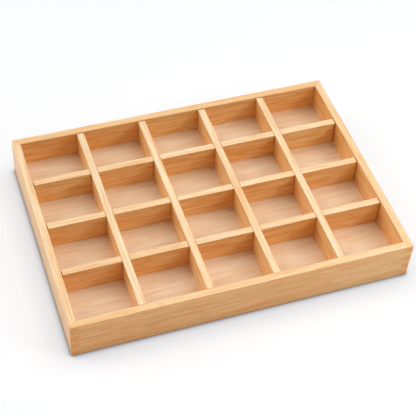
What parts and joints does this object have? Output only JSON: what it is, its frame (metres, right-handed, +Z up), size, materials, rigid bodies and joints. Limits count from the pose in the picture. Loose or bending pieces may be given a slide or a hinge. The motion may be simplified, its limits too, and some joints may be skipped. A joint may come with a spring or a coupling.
{
  "type": "jewelry display tray",
  "caption": "Shallow open wooden display tray with box-jointed rails, a raised base panel and a lift-out grid of cross-lapped dividers that makes rows of compartments.",
  "frame": {"origin": "on the table under the middle of the tray, so the rails' undersides lie at height zero", "axes": "+X along the tray's long side, from left to right; +Y from the front rail to the rear rail; +Z up, out of the open compartments"},
  "size_m": [0.35, 0.25, 0.045],
  "materials": {
    "rail_bamboo": "satin",
    "divider_bamboo": "satin",
    "base_plywood": "satin"
  },
  "bodies": {
    "tray": {"front_rail": "rail_bamboo", "rear_rail": "rail_bamboo", "left_rail": "rail_bamboo", "right_rail": "rail_bamboo", "base_panel": "base_plywood"},
    "cross_dividers": {"cross_divider_1": "divider_bamboo", "cross_divider_2": "divider_bamboo", "cross_divider_3": "divider_bamboo"},
    "long_divider_1": {"long_divider_1": "divider_bamboo"},
    "long_divider_2": {"long_divider_2": "divider_bamboo"},
    "long_divider_3": {"long_divider_3": "divider_bamboo"},
    "long_divider_4": {"long_divider_4": "divider_bamboo"}
  },
  "joints": [
    {"name": "divider_grid_lift", "type": "slide", "parent": "tray", "child": "cross_dividers", "axis": [0, 0, 1], "range_m": [0, 0.04]},
    {"name": "long_divider_1_lift", "type": "slide", "parent": "cross_dividers", "child": "long_divider_1", "axis": [0, 0, 1], "range_m": [0, 0.035]},
    {"name": "long_divider_2_lift", "type": "slide", "parent": "cross_dividers", "child": "long_divider_2", "axis": [0, 0, 1], "range_m": [0, 0.035]},
    {"name": "long_divider_3_lift", "type": "slide", "parent": "cross_dividers", "child": "long_divider_3", "axis": [0, 0, 1], "range_m": [0, 0.035]},
    {"name": "long_divider_4_lift", "type": "slide", "parent": "cross_dividers", "child": "long_divider_4", "axis": [0, 0, 1], "range_m": [0, 0.035]}
  ]
}
